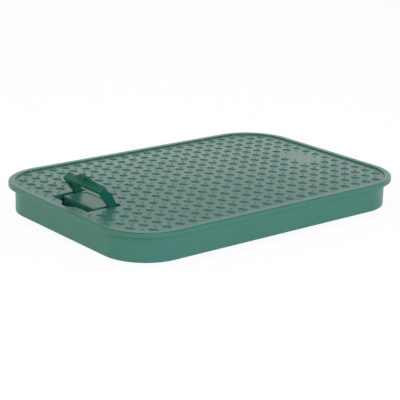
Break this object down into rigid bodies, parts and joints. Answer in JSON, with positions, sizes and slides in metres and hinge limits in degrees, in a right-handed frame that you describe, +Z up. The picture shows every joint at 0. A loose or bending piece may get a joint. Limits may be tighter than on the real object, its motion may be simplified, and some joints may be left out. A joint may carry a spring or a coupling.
{
  "type": "valve box lid",
  "caption": "Rectangular moulded lid for a buried valve box, with raised rim, checker tread, deep skirt and a fold-down carrying handle in a pocket.",
  "frame": {"origin": "centre of the lid's outline, on the plane of the skirt's lower edge", "axes": "+X along the lid's length, with the handle at the -X end, +Y across the lid, +Z up out of the tread"},
  "size_m": [0.43, 0.2944, 0.0674],
  "materials": {
    "lid_green": "semi-gloss moulded polyethylene with a fine mould grain",
    "handle_green": "semi-gloss moulded polyethylene, a little darker and smoother than the lid"
  },
  "bodies": {
    "lid": {"lid": "lid_green"},
    "handle": {"handle": "handle_green"}
  },
  "joints": [
    {"name": "handle_hinge", "type": "hinge", "parent": "lid", "child": "handle", "pos_m": [-0.1566, 0, 0.0302], "axis": [0, 1, 0], "range_deg": [-56, 34]}
  ]
}
